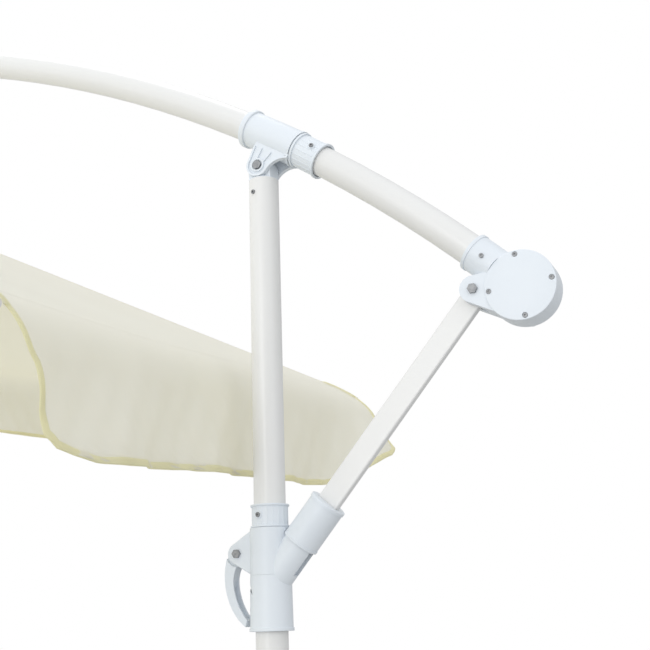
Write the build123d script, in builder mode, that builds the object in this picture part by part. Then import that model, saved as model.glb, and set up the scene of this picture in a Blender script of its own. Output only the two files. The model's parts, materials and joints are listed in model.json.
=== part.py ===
from build123d import *
from math import atan2, cos, degrees, hypot, radians, sin, sqrt, tan
import os

os.makedirs("parts", exist_ok=True)

# Cantilever parasol, millimetres and degrees. +Z is up, the mast's axis is the Z axis and the
# ground is Z = 0. The arm, the strut and the slider's lever lie in the XZ plane: the canopy hangs
# on the -X side and the crank housing is on the +X side.

# Tubes and fits
TUBE_R = 24.0
TUBE_WALL = 1.5
SNUG = 0.1
RUNNING = 0.06
SOCKET_DEEP = 1.5

# Arm: a tube bent to one arc, clamped in a sleeve that pivots on top of the mast
PIVOT_Z = 2040.0
ARC_X = -1280.0
ARC_Z = PIVOT_Z - 1953.0
ARC_R = 2389.0
PIVOT_ANGLE = 33.24
SLEEVE_FROM, SLEEVE_TO = 31.74, 34.25
COLLAR_FROM, COLLAR_TO = 34.29, 35.45
NECK_ANGLE = 42.70
TUBE_END_ANGLE = 43.90
HOUSING_ANGLE = 45.03
TIP_TUBE_ANGLE = 0.45
BRACKET_FROM, BRACKET_TO = 1.70, -0.90
PIVOT_BOLT_R = 5.0
EAR_IN, EAR_OUT = 16.5, 22.0

# Strut: a flat bar from the housing's clevis to the slider's fork
STRUT_TOP = (341.0, PIVOT_Z - 260.0)
STRUT_FOOT = (60.0, PIVOT_Z - 588.0)
BAR_WIDE, BAR_THICK, BAR_WALL = 35.0, 13.0, 1.5
SLOT_HALF = 7.5
STRUT_SWING = 28.0
FORK_R = 25.2
FORK_TOP, FORK_SOLID, FORK_LOW = 12.0, -20.0, -76.0
LOCK_FROM, LOCK_TO, LOCK_R, LOCK_BORE = -17.0, 56.0, 27.5, 26.0

# Slider and the stop collar above it, as heights below the arm's pivot
STOP_TOP, STOP_LOW = PIVOT_Z - 542.0, PIVOT_Z - 576.0
SLIDER_TOP, SLIDER_SEAM, SLIDER_LOW = PIVOT_Z - 576.5, PIVOT_Z - 645.0, PIVOT_Z - 725.0
SLIDER_R, SLIDER_BORE = 30.5, 25.5
LEVER_PIN = (-50.0, PIVOT_Z - 612.0)
LEVER_PIN_R = 4.0
LEVER_GAP, CHEEK_OUT = 7.3, 13.0

# Crank housing: a drum-shaped shell on the rear end of the arm
HOUSING_R, HOUSING_WALL = 51.7, 5.5
HOUSING_BACK, HOUSING_FRONT = 26.0, 24.0
COVER_SCREW_R, COVER_RIM, COVER_DOME = 45.6, 2.5, 3.0
SCREW_TURN = 50.0
CLEVIS_R = 20.0
SHAFT_R = 8.0
CRANK_LONG, CRANK_TURN = 88.0, 203.0
DRUM_R, CORD_R, CORD_DROP = 17.6, 2.0, 20.0

# Canopy: hangs on a hinge under the arm's tip, leaning towards the mast and a little to one side
HINGE_X = -1300.0
HINGE_Z = PIVOT_Z + 377.0
LEAN, ROLL = 11.8, 3.6
RIBS = 8
CANOPY_R, CANOPY_RISE, VALANCE = 1450.0, 368.0, 181.0
FABRIC_TOP = -50.0
FABRIC_THICK = 1.0
FABRIC_HOLE = 30.0
RIB_R, RIB_WALL, RIB_DROP, PIVOT_DROP = 8.0, 1.0, 11.5, 14.0
HUB_R, HUB_PIN_R, HUB_HALF = 46.0, 38.0, 14.0
STRETCHER, STRETCHER_R = 600.0, 6.0
TONGUE, PIN_R = 6.0, 2.5
PULLEY_R = 12.0

# Base: a steel cross under four slabs
BEAM_LONG, BEAM_WIDE, BEAM_HIGH, BEAM_WALL = 1000.0, 70.0, 30.0, 2.0
FOOT_LIFT = 4.0
SLAB, SLAB_THICK, SLAB_GAP, SLAB_CORNER = 440.0, 50.0, 24.0, 80.0
SOCKET_HIGH, SOCKET_R, FLANGE_R, FLANGE_THICK = 300.0, 27.5, 80.0, 8.0


def on_arc(angle, radius=ARC_R, across=0.0):
    """Point on the arm's arc; the angle runs from straight up towards +X."""
    turn = radians(angle)
    return Vector(ARC_X + radius * sin(turn), across, ARC_Z + radius * cos(turn))


def arc_side(angle, radius=ARC_R):
    """Side plane at the arc: x along the arc, y away from its centre, normal -Y."""
    turn = radians(angle)
    return Plane(on_arc(angle, radius), x_dir=(cos(turn), 0, -sin(turn)), z_dir=(0, -1, 0))


def ring_bend(x, z, ring, low, high, outer, inner=0.0, mode=Mode.ADD):
    """Tube bent round an axis along Y at (x, z), from one angle to another."""
    turn = radians(low)
    start = Plane(
        (x + ring * sin(turn), 0, z + ring * cos(turn)),
        x_dir=(0, 1, 0),
        z_dir=(cos(turn), 0, -sin(turn)),
    )
    with BuildSketch(start, mode=Mode.PRIVATE) as section:
        Circle(outer)
        if inner:
            Circle(inner, mode=Mode.SUBTRACT)
    revolve(section.sketch, axis=Axis((x, 0, z), (0, 1, 0)), revolution_arc=high - low, mode=mode)


def arm_bend(low, high, outer, inner=0.0, mode=Mode.ADD):
    ring_bend(ARC_X, ARC_Z, ARC_R, low, high, outer, inner, mode)


def arc_degrees(length):
    return degrees(length / ARC_R)


def along(place, direction, turn_x=(0, 1, 0)):
    """Plane at a point whose normal is the given direction."""
    return Plane(place, x_dir=turn_x, z_dir=direction)


def rod(place, direction, low, high, radius, mode=Mode.ADD):
    """Cylinder along a direction, between two distances from a point."""
    start = along(place, direction, perpendicular(direction)).offset(low)
    with BuildSketch(start, mode=Mode.PRIVATE) as section:
        Circle(radius)
    extrude(section.sketch, amount=high - low, mode=mode)


def perpendicular(direction):
    d = Vector(*direction)
    other = Vector(0, 1, 0) if abs(d.Y) < 0.9 * d.length else Vector(1, 0, 0)
    return (other - d * (other.dot(d) / d.dot(d))).normalized()


def cross_pin(x, z, low, high, radius, mode=Mode.ADD):
    """Cylinder along Y at (x, z)."""
    with BuildSketch(Plane.XZ.offset(-low), mode=Mode.PRIVATE) as section:
        with Locations((x, z)):
            Circle(radius)
    extrude(section.sketch, amount=low - high, mode=mode)


def cross_hex(x, z, low, high, radius, mode=Mode.ADD):
    """Hexagonal head or nut along Y at (x, z)."""
    with BuildSketch(Plane.XZ.offset(-low), mode=Mode.PRIVATE) as section:
        with Locations((x, z)):
            RegularPolygon(radius, 6)
    extrude(section.sketch, amount=low - high, mode=mode)


def pan_screw(place, direction, head_r=3.5, head=2.2, shank_r=1.8, shank=9.0):
    """Pan-head screw whose head sits on the place, pointing out along the direction."""
    rod(place, direction, -shank, 0, shank_r)
    rod(place, direction, 0, head, head_r)
    socket = along(place, direction, perpendicular(direction)).offset(head - SOCKET_DEEP)
    with BuildSketch(socket, mode=Mode.PRIVATE) as recess:
        RegularPolygon(head_r * 0.48, 6)
    extrude(recess.sketch, amount=SOCKET_DEEP, mode=Mode.SUBTRACT)


def circles(part, radius):
    """The part's circular edges of one radius."""
    rings = part.edges().filter_by(GeomType.CIRCLE)
    return rings.filter_by(lambda edge: abs(edge.radius - radius) < 0.01)


def finish(part, name):
    part.part.label = name
    export_step(part.part, f"parts/{name}.step")


# Directions that several sub-parts share
strut_run = (STRUT_TOP[0] - STRUT_FOOT[0], STRUT_TOP[1] - STRUT_FOOT[1])
strut_long = hypot(*strut_run)
strut_dir = Vector(strut_run[0] / strut_long, 0, strut_run[1] / strut_long)
strut_side = Plane(
    (STRUT_FOOT[0], 0, STRUT_FOOT[1]), x_dir=strut_dir, z_dir=(0, -1, 0)
)
foot_at = (STRUT_FOOT[0], 0, STRUT_FOOT[1])
housing_side = arc_side(HOUSING_ANGLE)
housing_at = on_arc(HOUSING_ANGLE)
clevis_at = housing_side.to_local_coords(Vector(STRUT_TOP[0], 0, STRUT_TOP[1]))
mast_top = PIVOT_Z - 21.0
beam_top = FOOT_LIFT + BEAM_HIGH

# Canopy frame: origin on the hinge, z along the canopy's axis
lean_plane = Plane.XY.rotated((0, LEAN, 0))
tilted = Plane.XY.rotated((ROLL, 0, 0)).rotated((0, 0, 0))
lean, roll = radians(LEAN), radians(ROLL)
canopy_z = Vector(cos(roll) * sin(lean), -sin(roll), cos(roll) * cos(lean))
canopy_x = Vector(cos(lean), 0, -sin(lean))
canopy = Plane((HINGE_X, 0, HINGE_Z), x_dir=canopy_x, z_dir=canopy_z)
rib_slope = degrees(atan2(CANOPY_RISE, CANOPY_R))
slope = radians(rib_slope)
pivot_z = (
    FABRIC_TOP - HUB_PIN_R * tan(slope) - (RIB_DROP + PIVOT_DROP) / cos(slope)
)
runner_z = pivot_z - 2 * STRETCHER * sin(slope)
rib_tip = (CANOPY_R - 14.0 - HUB_PIN_R) / cos(slope)


def rib_angle(index):
    return (index + 0.5) * 360.0 / RIBS


def canopy_point(radius, angle, height):
    turn = radians(angle)
    return canopy.from_local_coords(Vector(radius * cos(turn), radius * sin(turn), height))


def radial(angle):
    """Direction away from the canopy's axis at one rib."""
    turn = radians(angle)
    return canopy.x_dir * cos(turn) + canopy.y_dir * sin(turn)


def rib_side(angle, height):
    """Side plane of a rib: x outwards, y along the canopy's axis, origin on its hub pin."""
    out = radial(angle)
    return Plane(
        canopy_point(HUB_PIN_R, angle, height), x_dir=out,
        z_dir=out.cross(canopy.z_dir),
    )


def rib_line(angle, height, tilt):
    """Side plane turned so that its x runs along a rib (tilt < 0) or a stretcher (tilt > 0)."""
    base = rib_side(angle, height)
    turn = radians(tilt)
    run = base.x_dir * cos(turn) + base.y_dir * sin(turn)
    return Plane(base.origin, x_dir=run, z_dir=base.z_dir)


# ---------------------------------------------------------------- base
def make_base_cross():
    with BuildPart() as base_cross:
        with Locations((0, 0, FOOT_LIFT + BEAM_HIGH / 2)):
            Box(BEAM_LONG, BEAM_WIDE, BEAM_HIGH)
            Box(BEAM_WIDE, BEAM_LONG, BEAM_HIGH)
            inner_wide, inner_high = BEAM_WIDE - 2 * BEAM_WALL, BEAM_HIGH - 2 * BEAM_WALL
            Box(BEAM_LONG, inner_wide, inner_high, mode=Mode.SUBTRACT)
            Box(inner_wide, BEAM_LONG, inner_high, mode=Mode.SUBTRACT)
        with BuildSketch(Plane.XY.offset(beam_top - BEAM_WALL)):
            with PolarLocations(FLANGE_R - 18, 4):
                Circle(4.1)
        extrude(amount=BEAM_WALL, mode=Mode.SUBTRACT)
    finish(base_cross, "base_cross")


def make_base_end_caps():
    wall, wrap, end = 3.0, 26.0, 6.0
    with BuildPart() as base_end_caps:
        with PolarLocations(BEAM_LONG / 2 - wrap + end, 4):
            with Locations((wrap / 2, 0, (beam_top + wall) / 2)):
                Box(wrap, BEAM_WIDE + 2 * wall, beam_top + wall)
        with PolarLocations(BEAM_LONG / 2 - wrap + end, 4):
            with Locations(((wrap - end) / 2, 0, FOOT_LIFT + BEAM_HIGH / 2)):
                Box(wrap - end, BEAM_WIDE + SNUG, BEAM_HIGH + SNUG, mode=Mode.SUBTRACT)
        fillet(base_end_caps.edges().filter_by(Axis.Z).group_by(SortBy.LENGTH)[-1], 2.0)
        with BuildSketch(Plane.XY):
            Circle(30.0)
        extrude(amount=FOOT_LIFT)
    finish(base_end_caps, "base_end_caps")


def make_ballast_slabs():
    with BuildPart() as ballast_slabs:
        with BuildSketch(Plane.XY.offset(beam_top)):
            with BuildLine():
                Polyline(
                    (SLAB_GAP + SLAB_CORNER, SLAB_GAP), (SLAB_GAP + SLAB, SLAB_GAP),
                    (SLAB_GAP + SLAB, SLAB_GAP + SLAB), (SLAB_GAP, SLAB_GAP + SLAB),
                    (SLAB_GAP, SLAB_GAP + SLAB_CORNER), close=True,
                )
            make_face()
            mirror(about=Plane.YZ)
            mirror(about=Plane.XZ)
        extrude(amount=SLAB_THICK)
        chamfer(ballast_slabs.faces().sort_by(Axis.Z)[-4:].edges(), 5.0)
    finish(ballast_slabs, "ballast_slabs")


def make_mast_socket():
    gusset = 70.0
    with BuildPart() as mast_socket:
        with BuildSketch(Plane.XY.offset(beam_top)):
            Circle(FLANGE_R)
            with PolarLocations(FLANGE_R - 18, 4):
                Circle(4.1, mode=Mode.SUBTRACT)
        extrude(amount=FLANGE_THICK)
        with BuildSketch(Plane.XY.offset(beam_top)):
            Circle(SOCKET_R)
        extrude(amount=SOCKET_HIGH)
        for turn in (45, 135, 225, 315):
            side = Plane.XZ.rotated((0, 0, turn))
            with BuildSketch(side):
                with BuildLine():
                    Polyline(
                        (SOCKET_R - 1, beam_top + 4), (FLANGE_R - 6, beam_top + 4),
                        (FLANGE_R - 6, beam_top + 16), (SOCKET_R - 1, beam_top + gusset),
                        close=True,
                    )
                make_face()
            extrude(amount=2.5, both=True)
        with BuildSketch(Plane.XY.offset(beam_top)):
            Circle(TUBE_R + SNUG)
        extrude(amount=SOCKET_HIGH, mode=Mode.SUBTRACT)
        for height in (170.0, 280.0):
            rod((0, 0, height), (0, -1, 0), TUBE_R - 2, SOCKET_R + 2, 4.1, mode=Mode.SUBTRACT)
    finish(mast_socket, "mast_socket")


def make_base_bolts():
    with BuildPart() as base_bolts:
        with BuildSketch(Plane.XY.offset(beam_top + FLANGE_THICK)):
            with PolarLocations(FLANGE_R - 18, 4):
                RegularPolygon(8.0, 6)
        extrude(amount=5.5)
        with BuildSketch(Plane.XY.offset(FOOT_LIFT + BEAM_WALL + 4)):
            with PolarLocations(FLANGE_R - 18, 4):
                Circle(4.0)
        extrude(amount=beam_top + FLANGE_THICK - FOOT_LIFT - BEAM_WALL - 4)
        fillet(base_bolts.edges().group_by(Axis.Z)[-1], 1.0)
    finish(base_bolts, "base_bolts")


# ---------------------------------------------------------------- mast
SCREW_TOP_TURN, SCREW_STOP_TURN = -18.7, -12.0
screw_top_z, screw_stop_z = PIVOT_Z - 45.0, PIVOT_Z - 558.0


def mast_radial(turn):
    """Direction out of the mast; 0 is -Y and positive turns towards +X."""
    return (sin(radians(turn)), -cos(radians(turn)), 0)


def make_mast_tube():
    with BuildPart() as mast_tube:
        with BuildSketch(Plane.XY.offset(beam_top)):
            Circle(TUBE_R)
            Circle(TUBE_R - TUBE_WALL, mode=Mode.SUBTRACT)
        extrude(amount=mast_top - beam_top)
        for height, turn in ((screw_top_z, SCREW_TOP_TURN), (screw_stop_z, SCREW_STOP_TURN)):
            rod((0, 0, height), mast_radial(turn), TUBE_R - 4, TUBE_R + 1, 1.9, Mode.SUBTRACT)
    finish(mast_tube, "mast_tube")


def make_mast_plug():
    inner = TUBE_R - TUBE_WALL - SNUG
    tongue_r = EAR_OUT - 3.0
    tongue_half = EAR_IN - 0.8
    with BuildPart() as mast_plug:
        with BuildSketch(Plane.XY.offset(mast_top - 60)):
            Circle(inner)
        extrude(amount=60)
        with BuildSketch(Plane.XY.offset(mast_top)):
            Circle(TUBE_R)
        extrude(amount=1.6)
        fillet(mast_plug.edges().group_by(Axis.Z)[-1], 1.2)
        with BuildSketch(Plane.XZ, mode=Mode.PRIVATE) as tongue:
            with Locations((0, PIVOT_Z)):
                Circle(tongue_r)
            with Locations((0, (mast_top + PIVOT_Z) / 2)):
                Rectangle(2 * tongue_r, PIVOT_Z - mast_top)
        extrude(tongue.sketch, amount=tongue_half, both=True)
        cross_pin(0, PIVOT_Z, -TUBE_R, TUBE_R, PIVOT_BOLT_R + RUNNING, Mode.SUBTRACT)
        rod((0, 0, screw_top_z), mast_radial(SCREW_TOP_TURN), TUBE_R - 12, TUBE_R, 1.9,
            Mode.SUBTRACT)
    finish(mast_plug, "mast_plug")


def fluted_ring(low, high, radius, count=20, proud=0.6):
    """Shallow ribs down the outside of a moulded ring on the mast."""
    with BuildSketch(Plane.XY.offset(low), mode=Mode.PRIVATE) as ribs:
        with PolarLocations(radius - 0.4, count):
            Circle(proud + 0.4)
    extrude(ribs.sketch, amount=high - low)


def make_mast_stop_collar():
    rim, rim_high = 29.3, 3.0
    with BuildPart() as mast_stop_collar:
        with BuildSketch(Plane.XY.offset(STOP_LOW)):
            Circle(27.0)
        extrude(amount=STOP_TOP - STOP_LOW)
        for low in (STOP_LOW, STOP_TOP - rim_high):
            with BuildSketch(Plane.XY.offset(low)):
                Circle(rim)
            extrude(amount=rim_high)
        fillet(circles(mast_stop_collar, rim), 1.0)
        fluted_ring(STOP_LOW + 1, STOP_TOP - 1, 27.0)
        rod((0, 0, screw_stop_z), mast_radial(SCREW_STOP_TURN), 20, 28.4, 6.0)
        with BuildSketch(Plane.XY.offset(STOP_LOW)):
            Circle(TUBE_R + SNUG)
        extrude(amount=STOP_TOP - STOP_LOW, mode=Mode.SUBTRACT)
        rod((0, 0, screw_stop_z), mast_radial(SCREW_STOP_TURN), 20, 29, 1.9, Mode.SUBTRACT)
    finish(mast_stop_collar, "mast_stop_collar")


def make_mast_screws():
    with BuildPart() as mast_screws:
        for height, turn, out in (
            (screw_top_z, SCREW_TOP_TURN, TUBE_R), (screw_stop_z, SCREW_STOP_TURN, 28.4),
        ):
            ray = Vector(*mast_radial(turn))
            pan_screw((Vector(0, 0, height) + ray * out), ray)
        for height in (170.0, 280.0):
            rod((0, 0, height), (0, -1, 0), TUBE_R + 0.2, SOCKET_R + 4, 4.0)
            rod((0, 0, height), (0, -1, 0), SOCKET_R + 4, SOCKET_R + 12, 9.0)
    finish(mast_screws, "mast_screws")


# ---------------------------------------------------------------- slider
def make_slider_body():
    with BuildPart() as slider_body:
        with BuildSketch(Plane.XY.offset(SLIDER_SEAM)):
            Circle(SLIDER_R)
        extrude(amount=SLIDER_TOP - SLIDER_SEAM)
        with BuildSketch(Plane.XZ, mode=Mode.PRIVATE) as ear:
            with BuildLine():
                CenterArc(LEVER_PIN, 15.5, 0, 360)
                Polyline((-20, SLIDER_TOP - 2), (-20, SLIDER_SEAM + 1), (-26, SLIDER_SEAM + 1),
                         (-26, SLIDER_TOP - 2), close=True)
            make_hull()
        extrude(ear.sketch, amount=CHEEK_OUT, both=True)
        fillet(circles(slider_body, 15.5), 2.0)
        rod(foot_at, strut_dir, LOCK_FROM - 1.0, 60, LOCK_R + 1.5, Mode.SUBTRACT)
        rod(foot_at, strut_dir, FORK_LOW, FORK_TOP, FORK_R)
        with BuildSketch(strut_side, mode=Mode.PRIVATE) as slot:
            with BuildLine():
                Polyline((FORK_SOLID, FORK_R + 4), (40, FORK_R + 4), (40, -FORK_R - 9),
                         (-58, -FORK_R - 9), (-58, 2 - FORK_R / 2), (FORK_SOLID, -6), close=True)
            make_face()
        extrude(slot.sketch, amount=SLOT_HALF, both=True, mode=Mode.SUBTRACT)
        with BuildSketch(Plane.XY.offset(SLIDER_LOW)):
            Circle(SLIDER_BORE)
        extrude(amount=SLIDER_TOP - SLIDER_LOW, mode=Mode.SUBTRACT)
        lever_x, lever_z = LEVER_PIN
        with BuildSketch(Plane.XZ, mode=Mode.PRIVATE) as lever_slot:
            with BuildLine():
                CenterArc(LEVER_PIN, 16.5, 0, 360)
                Polyline((lever_x + 3, lever_z + 13.5), (lever_x + 16, lever_z + 6),
                         (lever_x + 16, SLIDER_SEAM - 2), (lever_x - 26, SLIDER_SEAM - 2),
                         (lever_x - 26, lever_z + 8), close=True)
            make_hull()
        extrude(lever_slot.sketch, amount=LEVER_GAP, both=True, mode=Mode.SUBTRACT)
        cross_pin(lever_x, lever_z, -20, 20, LEVER_PIN_R + SNUG, Mode.SUBTRACT)
        cross_pin(*STRUT_FOOT, -30, 30, PIVOT_BOLT_R + SNUG, Mode.SUBTRACT)
    finish(slider_body, "slider_body")


def make_slider_skirt():
    rim = 33.0
    with BuildPart() as slider_skirt:
        with BuildSketch(Plane.XY.offset(SLIDER_LOW)):
            Circle(SLIDER_R + 1.3)
        with BuildSketch(Plane.XY.offset(SLIDER_SEAM - 0.2)):
            Circle(SLIDER_R + 0.3)
        loft()
        with BuildSketch(Plane.XY.offset(SLIDER_LOW)):
            Circle(rim)
        extrude(amount=5.0)
        fillet(circles(slider_skirt, rim), 1.2)
        rod(foot_at, strut_dir, FORK_LOW - 40, 10, FORK_R + SNUG, Mode.SUBTRACT)
        with BuildSketch(Plane.XY.offset(SLIDER_LOW)):
            Circle(SLIDER_BORE)
        extrude(amount=SLIDER_SEAM - SLIDER_LOW, mode=Mode.SUBTRACT)
    finish(slider_skirt, "slider_skirt")


def make_lever_bolt():
    x, z = LEVER_PIN
    with BuildPart() as lever_bolt:
        cross_hex(x, z, -CHEEK_OUT - 4.0, -CHEEK_OUT, 6.8)
        cross_pin(x, z, -CHEEK_OUT, CHEEK_OUT + 6.0, LEVER_PIN_R)
        cross_hex(x, z, CHEEK_OUT, CHEEK_OUT + 4.5, 6.8)
    finish(lever_bolt, "lever_bolt")


def make_strut_pin():
    with BuildPart() as strut_pin:
        cross_pin(*STRUT_FOOT, -FORK_R + 1.2, FORK_R - 1.2, PIVOT_BOLT_R)
    finish(strut_pin, "strut_pin")


def make_brake_lever():
    x, z = LEVER_PIN
    grip_half, web = 10.0, 3.0
    top = PIVOT_Z
    outer = [(-62, top - 602), (-71.5, top - 634), (-69.5, top - 668), (-57, top - 698),
             (-38.5, top - 718)]
    inner = [(-35.5, top - 709), (-46, top - 694), (-56, top - 668), (-57.5, top - 646),
             (-50, top - 628)]
    with BuildPart() as brake_lever:
        with BuildSketch(Plane.XZ, mode=Mode.PRIVATE) as grip:
            with BuildLine():
                Spline(*outer)
                Line(outer[-1], inner[0])
                Spline(*inner)
                Line(inner[-1], outer[0])
            make_face()
        extrude(grip.sketch, amount=grip_half, both=True)
        with BuildSketch(Plane.XZ, mode=Mode.PRIVATE) as channel:
            with BuildLine():
                Polyline((-20, top - 640), (-58, top - 644), (-64, top - 662), (-58, top - 686),
                         (-44, top - 704), (-30, top - 712), (-20, top - 700), close=True)
            make_face()
        extrude(channel.sketch, amount=grip_half - web, both=True, mode=Mode.SUBTRACT)
        with BuildSketch(Plane.XZ, mode=Mode.PRIVATE) as neck:
            with Locations(LEVER_PIN):
                Circle(19.5)
        for side in (-1, 1):
            extrude(neck.sketch.moved(Location((0, side * (LEVER_GAP - 0.7), 0))),
                    amount=-side * 10, mode=Mode.SUBTRACT)
        with BuildSketch(Plane.XZ, mode=Mode.PRIVATE) as eye:
            with BuildLine():
                CenterArc(LEVER_PIN, 12.0, 0, 360)
                Polyline((x - 12, z + 5), (x - 19.5, z - 15), (x - 6, z - 20), (x, z - 14),
                         close=True)
            make_hull()
        extrude(eye.sketch, amount=LEVER_GAP - 0.7, both=True)
        cross_pin(x, z, -20, 20, LEVER_PIN_R + RUNNING, Mode.SUBTRACT)
    finish(brake_lever, "brake_lever")


# ---------------------------------------------------------------- strut
def make_strut_bar():
    half, thick = BAR_WIDE / 2, BAR_THICK / 2
    with BuildPart() as strut_bar:
        with BuildSketch(strut_side, mode=Mode.PRIVATE) as flat:
            with Locations((strut_long / 2, 0)):
                SlotCenterToCenter(strut_long, BAR_WIDE)
        extrude(flat.sketch, amount=thick, both=True)
        fillet(strut_bar.edges().filter_by(lambda e: e.length > strut_long * 0.9), 2.5)
        with BuildSketch(strut_side, mode=Mode.PRIVATE) as hollow:
            with Locations((strut_long / 2, 0)):
                Rectangle(strut_long - 2 * half - 30, BAR_WIDE - 2 * BAR_WALL)
        extrude(hollow.sketch, amount=thick - BAR_WALL, both=True, mode=Mode.SUBTRACT)
        cross_pin(*STRUT_FOOT, -10, 10, PIVOT_BOLT_R + RUNNING, Mode.SUBTRACT)
        cross_pin(*STRUT_TOP, -10, 10, PIVOT_BOLT_R + RUNNING, Mode.SUBTRACT)
    finish(strut_bar, "strut_bar")


def make_lock_sleeve():
    clear = 0.7
    with BuildPart() as lock_sleeve:
        rod(foot_at, strut_dir, LOCK_FROM, LOCK_TO, LOCK_R)
        rod(foot_at, strut_dir, LOCK_TO - 5, LOCK_TO, LOCK_R + 1.2)
        rod(foot_at, strut_dir, LOCK_FROM, LOCK_FROM + 4, LOCK_R + 0.8)
        ends = lock_sleeve.edges().filter_by(GeomType.CIRCLE).sort_by(Axis(foot_at, strut_dir))
        fillet([ends[0], ends[-1]], 1.0)
        rod(foot_at, strut_dir, LOCK_FROM, FORK_TOP + 8, LOCK_BORE, Mode.SUBTRACT)
        with BuildSketch(strut_side, mode=Mode.PRIVATE) as passage:
            with Locations((LOCK_TO, 0)):
                Rectangle(2 * (LOCK_TO - FORK_TOP), BAR_WIDE + 2 * clear)
        extrude(passage.sketch, amount=BAR_THICK / 2 + clear, both=True, mode=Mode.SUBTRACT)
    finish(lock_sleeve, "lock_sleeve")


# ---------------------------------------------------------------- arm
def collar_ray(angle, turn):
    """Direction out of the arm tube; 0 is -Y and positive turns away from the arc's centre."""
    lift = radians(turn)
    out = arc_side(angle).y_dir
    return out * sin(lift) + Vector(0, -cos(lift), 0)


STOP_SCREW_ANGLE, STOP_SCREW_TURN = 35.02, 22.0
NECK_SCREW_ANGLE = 43.30


def make_arm_tube():
    with BuildPart() as arm_tube:
        arm_bend(TIP_TUBE_ANGLE, TUBE_END_ANGLE, TUBE_R, TUBE_R - TUBE_WALL)
        for angle, turn in ((STOP_SCREW_ANGLE, STOP_SCREW_TURN), (NECK_SCREW_ANGLE, 0)):
            rod(on_arc(angle), collar_ray(angle, turn),
                TUBE_R - 4, TUBE_R + 1, 1.9, Mode.SUBTRACT)
    finish(arm_tube, "arm_tube")


def ear_sketch(plane, drop):
    """Outline of one pivot ear, in the side plane at the sleeve: the pin is at (0, -drop)."""
    round_r = EAR_OUT - 3.0
    with BuildSketch(plane, mode=Mode.PRIVATE) as ear:
        with BuildLine():
            Line((-24, -20), (-round_r, -drop))
            ThreePointArc((-round_r, -drop), (0, -drop - round_r), (round_r, -drop))
            ThreePointArc((round_r, -drop), (26.5, -35.5), (43, -24))
            Line((43, -24), (43, -18))
            Line((43, -18), (-24, -20))
        make_face()
    return ear.sketch


def make_arm_sleeve():
    drop = ARC_R - hypot(-ARC_X, PIVOT_Z - ARC_Z)
    side = arc_side(PIVOT_ANGLE)
    border = 3.0
    with BuildPart() as arm_sleeve:
        arm_bend(SLEEVE_FROM, SLEEVE_TO, 29.5)
        arm_bend(SLEEVE_FROM, SLEEVE_FROM + arc_degrees(10), 32.4)
        arm_bend(SLEEVE_TO - arc_degrees(5), SLEEVE_TO, 30.6)
        fillet(circles(arm_sleeve, 32.4), 2.0)
        for flank in (-1, 1):
            near = Plane(side.origin + Vector(0, flank * EAR_IN, 0), x_dir=side.x_dir,
                         z_dir=(0, -1, 0))
            extrude(ear_sketch(near, drop), amount=-flank * (EAR_OUT - EAR_IN))
            far = near.offset(-flank * (EAR_OUT - EAR_IN))
            with BuildSketch(far, mode=Mode.PRIVATE) as rim:
                add(ear_sketch(Plane.XY, drop))
                offset(amount=-border, mode=Mode.SUBTRACT)
                with Locations((0, -drop)):
                    Circle(11.5)
                with Locations((6, -20)):
                    Rectangle(60, 14, mode=Mode.SUBTRACT)
                for lean_x, lean in ((-7, 4), (9, -14)):
                    with Locations((lean_x, -36)):
                        Rectangle(2.2, 20, rotation=lean)
            extrude(rim.sketch, amount=-flank * 2.5)
        arm_bend(SLEEVE_FROM, SLEEVE_TO, TUBE_R + SNUG, mode=Mode.SUBTRACT)
        arm_bend(SLEEVE_TO - arc_degrees(4), SLEEVE_TO, TUBE_R + 3.0, mode=Mode.SUBTRACT)
        cross_pin(0, PIVOT_Z, -40, 40, PIVOT_BOLT_R + SNUG, Mode.SUBTRACT)
        cross_pin(0, PIVOT_Z, -EAR_OUT - 4, -EAR_OUT, 8.8, Mode.SUBTRACT)
        cross_pin(0, PIVOT_Z, EAR_OUT, EAR_OUT + 4, 8.8, Mode.SUBTRACT)
    finish(arm_sleeve, "arm_sleeve")


def make_arm_stop_collar():
    rim, flutes = 29.6, 20
    with BuildPart() as arm_stop_collar:
        arm_bend(COLLAR_FROM, COLLAR_TO, 27.0)
        arm_bend(COLLAR_FROM, COLLAR_FROM + arc_degrees(3.5), rim)
        arm_bend(COLLAR_TO - arc_degrees(3.5), COLLAR_TO, rim)
        for index in range(flutes):
            turn = index * 360.0 / flutes + 9.0
            ray = collar_ray((COLLAR_FROM + COLLAR_TO) / 2, turn)
            spot = on_arc((COLLAR_FROM + COLLAR_TO) / 2) + ray * 26.6
            rod(spot, arc_side((COLLAR_FROM + COLLAR_TO) / 2).x_dir,
                -20, 20, 1.0)
        rod(on_arc(STOP_SCREW_ANGLE),
            collar_ray(STOP_SCREW_ANGLE, STOP_SCREW_TURN), 20, 28.4, 6.0)
        arm_bend(COLLAR_FROM, COLLAR_TO, TUBE_R + SNUG, mode=Mode.SUBTRACT)
        arm_bend(COLLAR_TO - arc_degrees(4), COLLAR_TO, TUBE_R + 2.2, mode=Mode.SUBTRACT)
        rod(on_arc(STOP_SCREW_ANGLE),
            collar_ray(STOP_SCREW_ANGLE, STOP_SCREW_TURN), 20, 29, 1.9, Mode.SUBTRACT)
    finish(arm_stop_collar, "arm_stop_collar")


def make_arm_bolts():
    with BuildPart() as arm_bolts:
        for (x, z), face in (((0, PIVOT_Z), EAR_OUT), (STRUT_TOP, HOUSING_FRONT)):
            cross_hex(x, z, -face - 4.5, -face, 7.6)
            cross_pin(x, z, -face, face + 6.0, PIVOT_BOLT_R)
            cross_hex(x, z, face, face + 4.5, 7.6)
    finish(arm_bolts, "arm_bolts")


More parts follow.
